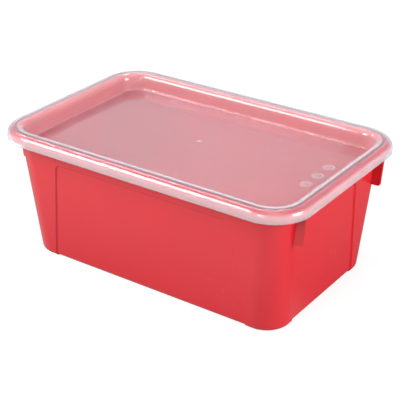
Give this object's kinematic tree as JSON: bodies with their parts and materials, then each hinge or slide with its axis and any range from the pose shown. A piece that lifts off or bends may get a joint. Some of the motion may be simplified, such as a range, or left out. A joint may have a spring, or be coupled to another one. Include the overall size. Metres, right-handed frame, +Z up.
{
  "type": "art supply box",
  "caption": "Red moulded plastic storage box for art supplies, with drafted walls, a rolled rim with gusset tabs at the ends and a clear sunk lid that lifts off.",
  "frame": {"origin": "on the ground under the middle of the box", "axes": "+X along the long side, +Y along the short side, +Z up"},
  "size_m": [0.31, 0.201, 0.125],
  "materials": {
    "tub_plastic": "opaque red moulded polypropylene, satin gloss",
    "lid_plastic": "clear, slightly hazy moulded polypropylene, polished on the outside"
  },
  "bodies": {
    "tub": {"tub": "tub_plastic"},
    "lid": {"lid": "lid_plastic"}
  },
  "joints": [
    {"name": "lid_lift", "type": "slide", "parent": "tub", "child": "lid", "axis": [0, 0, 1], "range_m": [0, 0.15]}
  ]
}
